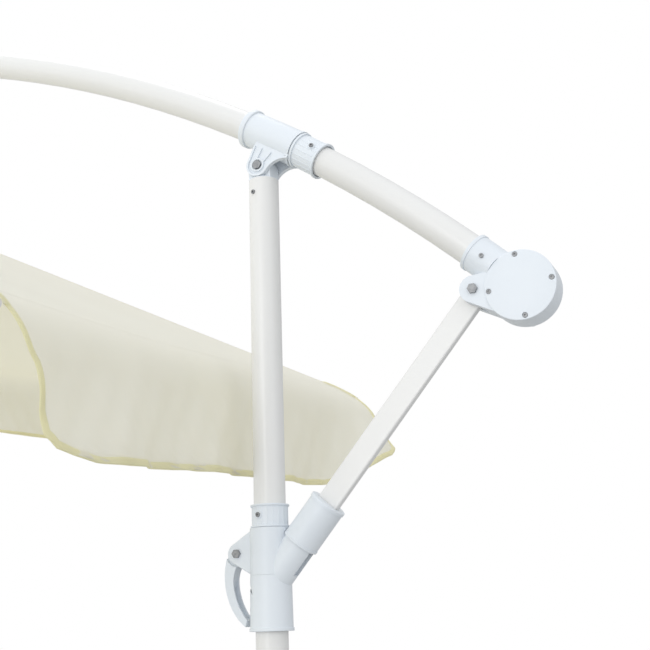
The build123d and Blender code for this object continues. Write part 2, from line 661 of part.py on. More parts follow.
def housing_web():
    """Web between the clevis ears and the round shell, in the housing's side plane."""
    with BuildSketch(housing_side, mode=Mode.PRIVATE) as web:
        with BuildLine():
            CenterArc((clevis_at.X, clevis_at.Y), CLEVIS_R, 0, 360)
            CenterArc((-6, -14), 36.0, 0, 360)
        make_hull()
    return web.sketch


def make_crank_housing():
    with BuildPart() as crank_housing:
        with BuildSketch(housing_side.offset(-HOUSING_BACK), mode=Mode.PRIVATE) as shell:
            Circle(HOUSING_R)
        extrude(shell.sketch, amount=HOUSING_BACK + HOUSING_FRONT)
        fillet(crank_housing.edges().sort_by(Axis.Y)[-1], 10.0)
        extrude(housing_web(), amount=HOUSING_FRONT, both=True)
        arm_bend(NECK_ANGLE, HOUSING_ANGLE - 0.5, 28.5)
        arm_bend(NECK_ANGLE, NECK_ANGLE + arc_degrees(5), 29.6)
        cross_pin(housing_at.X, housing_at.Z, -40, -HOUSING_FRONT, HOUSING_R + SNUG,
                  Mode.SUBTRACT)
        with BuildSketch(housing_side.offset(HOUSING_FRONT), mode=Mode.PRIVATE) as inside:
            Circle(HOUSING_R - HOUSING_WALL)
        extrude(inside.sketch, amount=-(HOUSING_FRONT + HOUSING_BACK - 6), mode=Mode.SUBTRACT)
        with BuildSketch(housing_side.offset(HOUSING_FRONT), mode=Mode.PRIVATE) as bosses:
            with PolarLocations(COVER_SCREW_R, 4, start_angle=SCREW_TURN):
                Circle(5.5)
            Circle(HOUSING_R - 0.5, mode=Mode.INTERSECT)
        extrude(bosses.sketch, amount=-(HOUSING_FRONT + HOUSING_BACK - 4))
        arm_bend(NECK_ANGLE, TUBE_END_ANGLE + arc_degrees(0.5), TUBE_R + SNUG, mode=Mode.SUBTRACT)
        arm_bend(TUBE_END_ANGLE, TUBE_END_ANGLE + arc_degrees(12), TUBE_R - 3, mode=Mode.SUBTRACT)
        cut_strut_swing()
        cut_cord_channel()
        with BuildSketch(housing_side.offset(HOUSING_FRONT), mode=Mode.PRIVATE) as pilots:
            with PolarLocations(COVER_SCREW_R, 4, start_angle=SCREW_TURN):
                Circle(1.9)
        extrude(pilots.sketch, amount=-14, mode=Mode.SUBTRACT)
        cross_pin(housing_at.X, housing_at.Z, 0, 40, SHAFT_R + RUNNING, Mode.SUBTRACT)
        cross_pin(*STRUT_TOP, -40, 40, PIVOT_BOLT_R + SNUG, Mode.SUBTRACT)
        rod(on_arc(NECK_SCREW_ANGLE), (0, -1, 0), 20, 30, 1.9, Mode.SUBTRACT)
    finish(crank_housing, "crank_housing")


def cut_strut_swing():
    """Slot for the strut's eye, from its place at rest to its place with the arm raised."""
    reach, room = 110.0, BAR_WIDE / 2 + 1.5
    x, z = STRUT_TOP
    low = strut_dir * -1
    turn = radians(-STRUT_SWING - 2)
    end = Vector(low.X * cos(turn) + low.Z * sin(turn), 0, -low.X * sin(turn) + low.Z * cos(turn))
    with BuildSketch(Plane.XZ, mode=Mode.PRIVATE) as swing:
        with Locations((x, z)):
            Circle(room)
        with BuildLine():
            Polyline(
                (x - low.Z * -room, z + low.X * -room),
                (x + low.Z * room + low.X * reach, z - low.X * room + low.Z * reach),
                (x - end.Z * room + end.X * reach, z + end.X * room + end.Z * reach),
                (x - end.Z * room, z + end.X * room), close=True,
            )
        make_face()
    extrude(swing.sketch, amount=SLOT_HALF, both=True, mode=Mode.SUBTRACT)


def cut_cord_channel():
    """Way for the lift cord from the arm tube to the drum."""
    ring_bend(ARC_X, ARC_Z, ARC_R - CORD_DROP, TUBE_END_ANGLE, HOUSING_ANGLE - 0.3,
              CORD_R + 2.5, mode=Mode.SUBTRACT)


def make_housing_cover():
    high = COVER_RIM + COVER_DOME
    ball = (HOUSING_R ** 2 + COVER_DOME ** 2) / (2 * COVER_DOME)
    with BuildPart() as housing_cover:
        cross_pin(housing_at.X, housing_at.Z, -HOUSING_FRONT - high, -HOUSING_FRONT, HOUSING_R)
        with Locations((housing_at.X, ball - HOUSING_FRONT - high, housing_at.Z)):
            Sphere(ball, mode=Mode.INTERSECT)
        fillet(housing_cover.edges().group_by(Axis.Y)[0], 1.0)
        with BuildSketch(housing_side.offset(HOUSING_FRONT)):
            with PolarLocations(COVER_SCREW_R, 4, start_angle=SCREW_TURN):
                Circle(1.9)
        extrude(amount=8, mode=Mode.SUBTRACT)
        with BuildSketch(housing_side.offset(HOUSING_FRONT + COVER_RIM - 1.0)):
            with PolarLocations(COVER_SCREW_R, 4, start_angle=SCREW_TURN):
                Circle(4.2)
        extrude(amount=8, mode=Mode.SUBTRACT)
    finish(housing_cover, "housing_cover")


def make_arm_screws():
    with BuildPart() as arm_screws:
        for index in range(4):
            turn = radians(90 * index + SCREW_TURN)
            spot = housing_side.from_local_coords(
                Vector(COVER_SCREW_R * cos(turn), COVER_SCREW_R * sin(turn),
                       HOUSING_FRONT + COVER_RIM - 1.0)
            )
            pan_screw(spot, (0, -1, 0), head_r=3.6, head=1.8, shank_r=1.8, shank=12)
        ray = collar_ray(STOP_SCREW_ANGLE, STOP_SCREW_TURN)
        pan_screw((on_arc(STOP_SCREW_ANGLE) + ray * 28.4), ray, shank=8)
        pan_screw(on_arc(NECK_SCREW_ANGLE, across=-28.5), (0, -1, 0), shank=8)
    finish(arm_screws, "arm_screws")


# ---------------------------------------------------------------- lift cord and crank
pulley_ring = PULLEY_R + CORD_R
pulley_angle = degrees((HINGE_X + pulley_ring - ARC_X) / (ARC_R - CORD_DROP - pulley_ring))
pulley_at = on_arc(pulley_angle, ARC_R - CORD_DROP - pulley_ring)


def make_arm_cord():
    with BuildPart() as arm_cord:
        ring_bend(ARC_X, ARC_Z, ARC_R - CORD_DROP, pulley_angle, HOUSING_ANGLE, CORD_R)
        ring_bend(pulley_at.X, pulley_at.Z, pulley_ring, -90, pulley_angle, CORD_R)
        rod((pulley_at.X - pulley_ring, 0, pulley_at.Z), (0, 0, -1), 0, 12, CORD_R)
    finish(arm_cord, "arm_cord")


def make_cord_drum():
    half, flange_r = 12.0, 33.0
    with BuildPart() as cord_drum:
        cross_pin(housing_at.X, housing_at.Z, -half, half, DRUM_R)
        cross_pin(housing_at.X, housing_at.Z, -half, -half + 3, flange_r)
        cross_pin(housing_at.X, housing_at.Z, half - 3, half, flange_r)
        cross_pin(housing_at.X, housing_at.Z, -half, half, SHAFT_R + SNUG, Mode.SUBTRACT)
    finish(cord_drum, "cord_drum")


ARM_FACE = 33.0
crank_end = (CRANK_LONG * cos(radians(CRANK_TURN)), CRANK_LONG * sin(radians(CRANK_TURN)))


def make_crank_handle():
    thick = 7.0
    with BuildPart() as crank_handle:
        cross_pin(housing_at.X, housing_at.Z, -16, ARM_FACE + thick - 1, SHAFT_R)
        with BuildSketch(housing_side.offset(-ARM_FACE - thick), mode=Mode.PRIVATE) as crank:
            with BuildLine():
                CenterArc((0, 0), 14, 0, 360)
                CenterArc(crank_end, 9, 0, 360)
            make_hull()
        extrude(crank.sketch, amount=thick)
        fillet(crank_handle.faces().sort_by(Axis.Y)[-1].edges(), 1.5)
        spindle = housing_side.from_local_coords(Vector(*crank_end, 0))
        cross_pin(spindle.X, spindle.Z, ARM_FACE + thick, ARM_FACE + thick + 76, 4.0)
        cross_pin(spindle.X, spindle.Z, ARM_FACE + thick + 76, ARM_FACE + thick + 79, 7.0)
    finish(crank_handle, "crank_handle")


def make_crank_knob():
    spindle = housing_side.from_local_coords(Vector(*crank_end, 0))
    low, high = ARM_FACE + 7.5, ARM_FACE + 82.5
    with BuildPart() as crank_knob:
        cut = Plane((spindle.X, 0, spindle.Z), x_dir=(1, 0, 0), z_dir=(0, 0, 1))
        with BuildSketch(cut, mode=Mode.PRIVATE) as half:
            with BuildLine():
                Polyline((0, low), (11, low), (11.5, low + 2))
                Spline((11.5, low + 2), (14.5, (low + high) / 2 + 6), (11.5, high - 3))
                Polyline((11.5, high - 3), (9, high), (0, high), (0, low))
            make_face()
        revolve(half.sketch, axis=Axis((spindle.X, 0, spindle.Z), (0, 1, 0)))
        cross_pin(spindle.X, spindle.Z, low, high, 4.0 + RUNNING, Mode.SUBTRACT)
        cross_pin(spindle.X, spindle.Z, high - 7, high, 7.6, Mode.SUBTRACT)
    finish(crank_knob, "crank_knob")


# ---------------------------------------------------------------- arm tip
CHEEK_IN, CHEEK_THICK = 21.0, 6.0
LUG_IN, LUG_OUT, LUG_R = 13.5, 20.3, 11.0
HANGER_PIN_R, AXLE_R = 4.0, 3.0


def make_tip_bracket():
    with BuildPart() as tip_bracket:
        arm_bend(BRACKET_TO, BRACKET_FROM, 29.0)
        fillet(tip_bracket.edges().sort_by(Axis.X)[0], 8.0)
        arm_bend(BRACKET_FROM - arc_degrees(6), BRACKET_FROM, 30.5)
        with BuildSketch(Plane.XZ, mode=Mode.PRIVATE) as cheek:
            with BuildLine():
                CenterArc((HINGE_X, HINGE_Z), 13.0, 0, 360)
                CenterArc((HINGE_X + 8, PIVOT_Z + 434), 25.0, 0, 360)
            make_hull()
        for side in (-1, 1):
            extrude(cheek.sketch.moved(Location((0, side * CHEEK_IN, 0))),
                    amount=-side * CHEEK_THICK)
        arm_bend(TIP_TUBE_ANGLE - arc_degrees(0.5), BRACKET_FROM, TUBE_R + SNUG, mode=Mode.SUBTRACT)
        arm_bend(pulley_angle + 0.1, TIP_TUBE_ANGLE, TUBE_R - 0.5, mode=Mode.SUBTRACT)
        cross_pin(pulley_at.X, pulley_at.Z, -7.0, 7.0, PULLEY_R + 6, Mode.SUBTRACT)
        cross_pin(pulley_at.X, pulley_at.Z, -30, 30, AXLE_R + SNUG, Mode.SUBTRACT)
        cross_pin(HINGE_X, HINGE_Z, -30, 30, HANGER_PIN_R + SNUG, Mode.SUBTRACT)
    finish(tip_bracket, "tip_bracket")


def make_tip_pins():
    out = CHEEK_IN + CHEEK_THICK
    with BuildPart() as tip_pins:
        cross_pin(pulley_at.X, pulley_at.Z, -out - 1, out + 1, AXLE_R)
        for side in (-1, 1):
            low, high = sorted((side * (LUG_IN - 1), side * out))
            cross_pin(HINGE_X, HINGE_Z, low, high, HANGER_PIN_R)
            low, high = sorted((side * out, side * (out + 3)))
            cross_pin(HINGE_X, HINGE_Z, low, high, 7.0)
    finish(tip_pins, "tip_pins")


def make_tip_pulley():
    half, flange = 5.0, PULLEY_R + 4.0
    with BuildPart() as tip_pulley:
        with BuildSketch(Plane(pulley_at, x_dir=(1, 0, 0), z_dir=(0, 0, -1)), mode=Mode.PRIVATE) as wheel:
            with BuildLine():
                Polyline((AXLE_R + RUNNING, -half), (flange, -half), (flange, -half + 1.5))
                ThreePointArc((flange, -half + 1.5), (PULLEY_R - 0.3, 0), (flange, half - 1.5))
                Polyline((flange, half - 1.5), (flange, half), (AXLE_R + RUNNING, half),
                         (AXLE_R + RUNNING, -half))
            make_face()
        revolve(wheel.sketch, axis=Axis(pulley_at, (0, 1, 0)))
    finish(tip_pulley, "tip_pulley")


# ---------------------------------------------------------------- canopy frame
def hub_disc(height):
    """Toothed disc with one slot for each rib or stretcher."""
    with BuildSketch(canopy.offset(height - HUB_HALF), mode=Mode.PRIVATE) as disc:
        Circle(HUB_R)
    extrude(disc.sketch, amount=2 * HUB_HALF)
    with BuildSketch(canopy.offset(height - HUB_HALF), mode=Mode.PRIVATE) as slots:
        with PolarLocations(HUB_PIN_R, RIBS, start_angle=rib_angle(0)):
            Rectangle(26, TONGUE + 1.4)
    extrude(slots.sketch, amount=2 * HUB_HALF, mode=Mode.SUBTRACT)


def hub_pins(height, radius, mode=Mode.ADD):
    for index in range(RIBS):
        side = rib_side(rib_angle(index), height)
        rod(side.origin, side.z_dir, -8.5, 8.5, radius, mode)


def make_crown_hub():
    lug_plane = Plane((HINGE_X, 0, HINGE_Z), x_dir=canopy_x, z_dir=(0, -1, 0))
    post_r = 22.0
    with BuildPart() as crown_hub:
        hub_disc(pivot_z)
        with BuildSketch(canopy.offset(pivot_z), mode=Mode.PRIVATE) as post:
            Circle(post_r)
        extrude(post.sketch, amount=-24.0 - pivot_z)
        with BuildSketch(lug_plane, mode=Mode.PRIVATE) as lug:
            with BuildLine():
                CenterArc((0, 0), LUG_R, 0, 360)
                Polyline((-LUG_R - 2, -30), (LUG_R + 2, -30), (LUG_R + 2, -34), (-LUG_R - 2, -34),
                         close=True)
            make_hull()
        for side in (-1, 1):
            extrude(lug.sketch.moved(Location((0, side * LUG_IN, 0))),
                    amount=-side * (LUG_OUT - LUG_IN))
        cross_pin(HINGE_X, HINGE_Z, -30, 30, HANGER_PIN_R + RUNNING, Mode.SUBTRACT)
        with BuildSketch(canopy.offset(pivot_z - HUB_HALF), mode=Mode.PRIVATE) as way:
            Circle(CORD_R + 3)
        extrude(way.sketch, amount=120, mode=Mode.SUBTRACT)
        hub_pins(pivot_z, PIN_R + SNUG, Mode.SUBTRACT)
    finish(crown_hub, "crown_hub")


def make_crown_cap():
    inner, outer, low = 22.0 + SNUG, 44.0, FABRIC_TOP + 1.0
    with BuildPart() as crown_cap:
        with BuildSketch(canopy.offset(low - outer * tan(slope) + 1.5), mode=Mode.PRIVATE) as wide:
            Circle(outer)
        with BuildSketch(canopy.offset(low + 4.0), mode=Mode.PRIVATE) as narrow:
            Circle(inner + 4)
        loft(sections=[wide.sketch.face(), narrow.sketch.face()])
        with BuildSketch(canopy.offset(low - 40), mode=Mode.PRIVATE) as under_wide:
            Circle((40 + 1.5) / tan(slope))
        with BuildSketch(canopy.offset(low + 1.5 - 2.5), mode=Mode.PRIVATE) as under_narrow:
            Circle(2.5 / tan(slope))
        loft(sections=[under_wide.sketch.face(), under_narrow.sketch.face()], mode=Mode.SUBTRACT)
        with BuildSketch(canopy.offset(low - 40), mode=Mode.PRIVATE) as bore:
            Circle(inner)
        extrude(bore.sketch, amount=60, mode=Mode.SUBTRACT)
    finish(crown_cap, "crown_cap")


def make_crown_pins():
    with BuildPart() as crown_pins:
        hub_pins(pivot_z, PIN_R)
    finish(crown_pins, "crown_pins")


def make_runner_hub():
    with BuildPart() as runner_hub:
        hub_disc(runner_z)
        with BuildSketch(canopy.offset(runner_z - HUB_HALF), mode=Mode.PRIVATE) as skirt:
            Circle(20)
        extrude(skirt.sketch, amount=-26)
        fillet(runner_hub.faces().sort_by(Axis(canopy.origin, canopy_z))[0]
               .edges(), 5.0)
        hub_pins(runner_z, PIN_R + SNUG, Mode.SUBTRACT)
    finish(runner_hub, "runner_hub")


def make_runner_pins():
    with BuildPart() as runner_pins:
        hub_pins(runner_z, PIN_R)
    finish(runner_pins, "runner_pins")


def make_canopy_cord():
    with BuildPart() as canopy_cord:
        with BuildSketch(canopy.offset(runner_z + HUB_HALF), mode=Mode.PRIVATE) as section:
            Circle(CORD_R)
        extrude(section.sketch, amount=-runner_z - HUB_HALF - 8)
    finish(canopy_cord, "canopy_cord")


def make_rib(index):
    """Rib: its tube lies PIVOT_DROP above the line through its hub pin and its stretcher rivet."""
    line = rib_line(rib_angle(index), pivot_z, -rib_slope)
    start = 24.0
    with BuildPart() as rib:
        across = Plane(line.from_local_coords(Vector(start, PIVOT_DROP, 0)),
                       x_dir=line.z_dir, z_dir=line.x_dir)
        with BuildSketch(across, mode=Mode.PRIVATE) as section:
            Circle(RIB_R)
            Circle(RIB_R - RIB_WALL, mode=Mode.SUBTRACT)
        extrude(section.sketch, amount=rib_tip - start)
        for place in (start, rib_tip - 14):
            with BuildSketch(across.offset(place - start), mode=Mode.PRIVATE) as plug:
                Circle(RIB_R)
            extrude(plug.sketch, amount=14)
        with BuildSketch(line, mode=Mode.PRIVATE) as tongue:
            with BuildLine():
                CenterArc((0, 0), 7.0, 0, 360)
                Polyline((start, 6), (start + 8, 6), (start + 8, 18), (start, 18), close=True)
            make_hull()
        extrude(tongue.sketch, amount=TONGUE / 2, both=True)
        with BuildSketch(line, mode=Mode.PRIVATE) as clip:
            with BuildLine():
                CenterArc((STRETCHER, 0), 6.5, 0, 360)
                Polyline((STRETCHER - 12, 8), (STRETCHER + 12, 8), (STRETCHER + 12, 12),
                         (STRETCHER - 12, 12), close=True)
            make_hull()
        for side in (-1, 1):
            extrude(clip.sketch.moved(Location(line.z_dir * side * (TONGUE / 2 + 0.7))),
                    amount=side * 2.4)
        rivet = line.from_local_coords(Vector(STRETCHER, 0, 0))
        rod(rivet, line.z_dir, -TONGUE / 2 - 3.6, TONGUE / 2 + 3.6, PIN_R)
        rod(line.origin, line.z_dir, -10, 10, PIN_R + RUNNING, Mode.SUBTRACT)
    finish(rib, f"rib_{index + 1}")


def make_stretcher(index):
    line = rib_line(rib_angle(index), runner_z, rib_slope)
    clear = 18.0
    with BuildPart() as stretcher:
        across = Plane(line.from_local_coords(Vector(clear, 0, 0)),
                       x_dir=line.z_dir, z_dir=line.x_dir)
        with BuildSketch(across, mode=Mode.PRIVATE) as section:
            Circle(STRETCHER_R)
            Circle(STRETCHER_R - RIB_WALL, mode=Mode.SUBTRACT)
        extrude(section.sketch, amount=STRETCHER - 2 * clear)
        for place in (0, STRETCHER - 2 * clear - 12):
            with BuildSketch(across.offset(place), mode=Mode.PRIVATE) as plug:
                Circle(STRETCHER_R)
            extrude(plug.sketch, amount=12)
        for low, high in ((0, clear + 4), (STRETCHER, STRETCHER - clear - 4)):
            with BuildSketch(line, mode=Mode.PRIVATE) as tongue:
                with BuildLine():
                    CenterArc((low, 0), 5.0, 0, 360)
                    CenterArc((high, 0), 5.0, 0, 360)
                make_hull()
            extrude(tongue.sketch, amount=TONGUE / 2, both=True)
        for place in (0, STRETCHER):
            spot = line.from_local_coords(Vector(place, 0, 0))
            rod(spot, line.z_dir, -10, 10, PIN_R + RUNNING, Mode.SUBTRACT)
    finish(stretcher, f"stretcher_{index + 1}")


def panel(corners, way):
    """Thin sheet through flat corner points, thickened along a direction."""
    first, second, third = corners[:3]
    plane = Plane(first, x_dir=(second - first),
                  z_dir=(second - first).cross(third - first))
    with BuildSketch(plane, mode=Mode.PRIVATE) as sheet:
        with BuildLine():
            Polyline([plane.to_local_coords(c) for c in corners], close=True)
        make_face()
    extrude(sheet.sketch, amount=FABRIC_THICK, dir=way)


def make_gore(index):
    """Half a panel on each side of a rib, with its share of the hanging valance."""
    angle, half = rib_angle(index), 180.0 / RIBS
    seam = 0.5
    down = Vector(0, 0, -1)
    with BuildPart() as gore:
        for side in (-1, 1):
            mid = angle + side * half
            edge_r = CANOPY_R * cos(radians(half))
            rise = CANOPY_RISE / CANOPY_R
            nudge = radial(mid + side * -90) * seam
            crown_rib = canopy_point(FABRIC_HOLE, angle, FABRIC_TOP - FABRIC_HOLE * rise)
            crown_mid = canopy_point(FABRIC_HOLE * cos(radians(half)), mid,
                                     FABRIC_TOP - FABRIC_HOLE * rise) + nudge
            tip = canopy_point(CANOPY_R, angle, FABRIC_TOP - CANOPY_RISE)
            edge = canopy_point(edge_r, mid, FABRIC_TOP - CANOPY_RISE) + nudge
            panel([crown_rib, tip, edge, crown_mid], canopy.z_dir * -1)
            run = (edge - tip).normalized()
            inward = run.cross(down) * side
            if inward.dot(canopy.from_local_coords(Vector(0, 0, FABRIC_TOP)) - tip) < 0:
                inward = inward * -1
            panel(
                [tip + run * 12, edge, edge + down * VALANCE,
                 tip + run * 80 + down * VALANCE, tip + run * 45 + down * (VALANCE - 30)],
                inward,
            )
    finish(gore, f"gore_{index + 1}")


make_base_cross()
make_base_end_caps()
make_ballast_slabs()
make_mast_socket()
make_base_bolts()
make_mast_tube()
make_mast_plug()
make_mast_stop_collar()
make_mast_screws()
make_slider_body()
make_slider_skirt()
make_lever_bolt()
make_strut_pin()
make_brake_lever()
make_strut_bar()
make_lock_sleeve()
make_arm_tube()
make_arm_sleeve()
make_arm_stop_collar()
make_arm_bolts()
make_crank_housing()
make_housing_cover()
make_arm_screws()
make_arm_cord()
make_cord_drum()
make_crank_handle()
make_crank_knob()
make_tip_bracket()
make_tip_pins()
make_tip_pulley()
make_crown_hub()
make_crown_cap()
make_crown_pins()
make_runner_hub()
make_runner_pins()
make_canopy_cord()
for number in range(RIBS):
    make_rib(number)
    make_stretcher(number)
    make_gore(number)
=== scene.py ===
"""Cantilever parasol: looks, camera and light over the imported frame. Metres, +Z up, mast on the Z axis."""

import json
import math

import bmesh
import bpy
import numpy as np
from mathutils import Matrix, Vector


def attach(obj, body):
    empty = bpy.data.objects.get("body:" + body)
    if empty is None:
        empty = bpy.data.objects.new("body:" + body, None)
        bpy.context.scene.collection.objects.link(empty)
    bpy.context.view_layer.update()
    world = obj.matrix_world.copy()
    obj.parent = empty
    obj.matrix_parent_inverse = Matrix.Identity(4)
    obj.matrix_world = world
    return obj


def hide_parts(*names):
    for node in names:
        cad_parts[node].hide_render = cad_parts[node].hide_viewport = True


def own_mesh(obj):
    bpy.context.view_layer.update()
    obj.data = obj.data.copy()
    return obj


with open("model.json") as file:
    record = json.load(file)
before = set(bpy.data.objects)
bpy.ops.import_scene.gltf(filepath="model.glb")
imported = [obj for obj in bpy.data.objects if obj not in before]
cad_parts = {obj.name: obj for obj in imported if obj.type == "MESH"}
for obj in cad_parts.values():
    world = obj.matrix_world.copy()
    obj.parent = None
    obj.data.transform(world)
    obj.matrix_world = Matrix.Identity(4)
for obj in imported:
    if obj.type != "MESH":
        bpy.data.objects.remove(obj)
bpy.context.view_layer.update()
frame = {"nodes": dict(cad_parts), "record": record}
scene = bpy.context.scene
nodes = frame["nodes"]

# ---------------------------------------------------------------- shape of the canopy
RIBS = 8
HINGE = np.array([-1.300, 0.0, 2.417])
LEAN, ROLL = math.radians(11.8), math.radians(3.6)
AXIS_Z = np.array(
    [math.cos(ROLL) * math.sin(LEAN), -math.sin(ROLL), math.cos(ROLL) * math.cos(LEAN)]
)
AXIS_X = np.array([math.cos(LEAN), 0.0, -math.sin(LEAN)])
AXIS_Y = np.cross(AXIS_Z, AXIS_X)
RIM, RISE, TOP, HOLE, DROP = 1.450, 0.368, -0.050, 0.030, 0.181
EDGE = 2 * RIM * math.sin(math.pi / RIBS)
DOWN = np.array([0.0, 0.0, -1.0])


def rib_angle(index):
    return (index + 0.5) * 2 * math.pi / RIBS


def local(radius, angle, height):
    return (
        HINGE
        + AXIS_X * radius * math.cos(angle)
        + AXIS_Y * radius * math.sin(angle)
        + AXIS_Z * height
    )


def outward(angle):
    return AXIS_X * math.cos(angle) + AXIS_Y * math.sin(angle)


# ---------------------------------------------------------------- materials
def new_material(name):
    m = bpy.data.materials.new(name)
    m.use_nodes = True
    t = m.node_tree
    b = next(n for n in t.nodes if n.type == "BSDF_PRINCIPLED")
    return m, t, b


def noise(t, scale, detail=3.0, coord=None, rough=0.5):
    n = t.nodes.new("ShaderNodeTexNoise")
    n.inputs["Scale"].default_value = scale
    n.inputs["Detail"].default_value = detail
    n.inputs["Roughness"].default_value = rough
    if coord is None:
        coord = t.nodes.new("ShaderNodeTexCoord").outputs["Object"]
    t.links.new(coord, n.inputs["Vector"])
    return n.outputs["Fac"]


def ramp(t, fac, stops):
    r = t.nodes.new("ShaderNodeValToRGB")
    r.color_ramp.elements[0].position, r.color_ramp.elements[0].color = stops[0][0], (*stops[0][1], 1)
    r.color_ramp.elements[1].position, r.color_ramp.elements[1].color = stops[-1][0], (*stops[-1][1], 1)
    for place, colour in stops[1:-1]:
        e = r.color_ramp.elements.new(place)
        e.color = (*colour, 1)
    t.links.new(fac, r.inputs["Fac"])
    return r.outputs["Color"]


def bump(t, b, height, distance, strength=1.0, after=None):
    n = t.nodes.new("ShaderNodeBump")
    n.inputs["Distance"].default_value = distance
    n.inputs["Strength"].default_value = strength
    t.links.new(height, n.inputs["Height"])
    if after is not None:
        t.links.new(after, n.inputs["Normal"])
    t.links.new(n.outputs["Normal"], b.inputs["Normal"])
    return n.outputs["Normal"]


def spread(t, fac, low, high):
    n = t.nodes.new("ShaderNodeMapRange")
    n.inputs["To Min"].default_value, n.inputs["To Max"].default_value = low, high
    t.links.new(fac, n.inputs["Value"])
    return n.outputs["Result"]


def coated(name, pale, deep, rough, grain=900.0, peel=0.00004):
    """Powder-coated metal: faint orange peel and slow colour drift."""
    m, t, b = new_material(name)
    t.links.new(ramp(t, noise(t, 3.0), [(0.3, deep), (0.7, pale)]), b.inputs["Base Color"])
    t.links.new(spread(t, noise(t, 40.0), rough - 0.04, rough + 0.05), b.inputs["Roughness"])
    b.inputs["Coat Weight"].default_value = 0.25
    b.inputs["Coat Roughness"].default_value = 0.18
    bump(t, b, noise(t, grain, 2.0), peel)
    return m


def moulded(name, pale, deep, rough, peel=0.00003):
    """Moulded plastic: fine even texture, faint flow marks."""
    m, t, b = new_material(name)
    t.links.new(ramp(t, noise(t, 9.0, 2.0), [(0.3, deep), (0.7, pale)]), b.inputs["Base Color"])
    t.links.new(spread(t, noise(t, 120.0), rough - 0.05, rough + 0.05), b.inputs["Roughness"])
    b.inputs["Specular IOR Level"].default_value = 0.45
    bump(t, b, noise(t, 1600.0, 2.0), peel)
    return m


def metal(name, pale, deep, rough):
    m, t, b = new_material(name)
    b.inputs["Metallic"].default_value = 0.9
    t.links.new(ramp(t, noise(t, 260.0), [(0.3, deep), (0.7, pale)]), b.inputs["Base Color"])
    t.links.new(spread(t, noise(t, 700.0), rough - 0.08, rough + 0.1), b.inputs["Roughness"])
    bump(t, b, noise(t, 1500.0), 0.00005)
    return m


def concrete(name):
    m, t, b = new_material(name)
    t.links.new(
        ramp(t, noise(t, 26.0, 9.0, rough=0.65), [(0.3, (0.40, 0.39, 0.37)), (0.55, (0.52, 0.51, 0.49)), (0.75, (0.60, 0.59, 0.56))]),
        b.inputs["Base Color"],
    )
    b.inputs["Roughness"].default_value = 0.9
    bump(t, b, noise(t, 420.0, 6.0), 0.0006)
    return m


def braid(name):
    m, t, b = new_material(name)
    coord = t.nodes.new("ShaderNodeTexCoord").outputs["Object"]
    w = t.nodes.new("ShaderNodeTexWave")
    w.wave_type, w.bands_direction = "BANDS", "DIAGONAL"
    w.inputs["Scale"].default_value = 160.0
    t.links.new(coord, w.inputs["Vector"])
    t.links.new(ramp(t, w.outputs["Fac"], [(0.2, (0.70, 0.69, 0.64)), (0.8, (0.88, 0.87, 0.82))]), b.inputs["Base Color"])
    b.inputs["Roughness"].default_value = 0.85
    bump(t, b, w.outputs["Fac"], 0.0003)
    return m


def weave(t, per_metre):
    """Plain weave height from the cloth's own metre grid."""
    uv = t.nodes.new("ShaderNodeUVMap")
    uv.uv_map = "cloth"
    total = None
    for direction in ("X", "Y"):
        w = t.nodes.new("ShaderNodeTexWave")
        w.wave_type, w.bands_direction = "BANDS", direction
        w.inputs["Scale"].default_value = per_metre
        w.inputs["Distortion"].default_value = 0.4
        t.links.new(uv.outputs["UV"], w.inputs["Vector"])
        if total is None:
            total = w.outputs["Fac"]
        else:
            m = t.nodes.new("ShaderNodeMath")
            m.operation = "MULTIPLY"
            t.links.new(total, m.inputs[0])
            t.links.new(w.outputs["Fac"], m.inputs[1])
            total = m.outputs["Value"]
    return total, uv.outputs["UV"]


def cloth(name, pale, deep, glow, through, rough=0.75):
    """Thin woven polyester: some of the light passes through and comes out warmer."""
    m, t, b = new_material(name)
    height, uv = weave(t, 260.0)
    n = t.nodes.new("ShaderNodeTexNoise")
    n.inputs["Scale"].default_value = 2.2
    n.inputs["Detail"].default_value = 4.0
    t.links.new(uv, n.inputs["Vector"])
    t.links.new(ramp(t, n.outputs["Fac"], [(0.35, deep), (0.65, pale)]), b.inputs["Base Color"])
    b.inputs["Roughness"].default_value = rough
    b.inputs["Sheen Weight"].default_value = 0.25
    b.inputs["Sheen Roughness"].default_value = 0.4
    normal = bump(t, b, height, 0.00012)
    glass = t.nodes.new("ShaderNodeBsdfTranslucent")
    glass.inputs["Color"].default_value = (*glow, 1)
    t.links.new(normal, glass.inputs["Normal"])
    mix = t.nodes.new("ShaderNodeMixShader")
    mix.inputs["Fac"].default_value = through
    out = next(x for x in t.nodes if x.type == "OUTPUT_MATERIAL")
    t.links.new(b.outputs["BSDF"], mix.inputs[1])
    t.links.new(glass.outputs["BSDF"], mix.inputs[2])
    t.links.new(mix.outputs["Shader"], out.inputs["Surface"])
    return m


LOOKS = {
    "frame_paint": coated("warm_white_coat", (0.80, 0.797, 0.785), (0.775, 0.772, 0.76), 0.30),
    "rib_paint": coated("rib_coat", (0.80, 0.79, 0.76), (0.77, 0.76, 0.73), 0.35),
    "crank_metal": coated("crank_coat", (0.80, 0.79, 0.765), (0.775, 0.765, 0.74), 0.32),
    "moulding": moulded("cool_white_plastic", (0.77, 0.815, 0.86), (0.745, 0.79, 0.84), 0.36),
    "drum_plastic": moulded("grey_plastic", (0.50, 0.51, 0.53), (0.46, 0.47, 0.49), 0.5),
    "foot_plastic": moulded("black_plastic", (0.05, 0.05, 0.05), (0.035, 0.035, 0.035), 0.6),
    "zinc": metal("zinc_plate", (0.34, 0.345, 0.35), (0.24, 0.245, 0.255), 0.48),
    "concrete": concrete("cast_concrete"),
    "cord": braid("cord_braid"),
    "canopy_fabric": cloth("cream_polyester", (0.95, 0.945, 0.915), (0.93, 0.92, 0.89), (0.98, 0.92, 0.62), 0.36),
}
